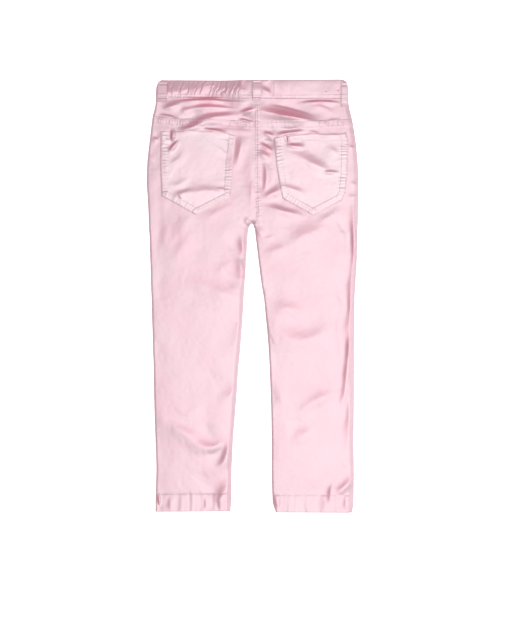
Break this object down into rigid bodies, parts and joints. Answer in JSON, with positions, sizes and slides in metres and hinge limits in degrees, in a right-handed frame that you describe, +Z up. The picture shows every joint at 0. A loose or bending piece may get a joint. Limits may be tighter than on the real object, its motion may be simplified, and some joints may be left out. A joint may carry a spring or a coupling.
{
  "type": "child's satin jeans, laid flat with the back up",
  "caption": "Slim pink satin jeans lying flat, back up: gathered waistband with belt loops, pointed yoke, patch pockets, straight legs with stitched hems, fly and button underneath.",
  "frame": {"origin": "on the surface the jeans lie on, under the middle of their outline", "axes": "+X to the wearer's right, +Y up to the waist, +Z up off the surface"},
  "size_m": [0.3037, 0.6196, 0.0096],
  "materials": {
    "satin": "stretch satin with a soft sheen",
    "waistband_satin": "the same satin, doubled over elastic",
    "thread": "matching polyester thread",
    "button_metal": "satin nickel"
  },
  "bodies": {
    "root": {"back_leg_left": "satin", "back_leg_right": "satin", "back_yoke_left": "satin", "back_yoke_right": "satin", "back_pocket_left": "satin", "back_pocket_right": "satin", "front_leg_left": "satin", "front_leg_right": "satin", "fly": "satin", "waistband_back": "waistband_satin", "waistband_front_left": "waistband_satin", "waistband_front_right": "waistband_satin", "loop_back_centre": "waistband_satin", "loop_side_left": "waistband_satin", "loop_side_right": "waistband_satin", "button": "button_metal"}
  },
  "joints": []
}
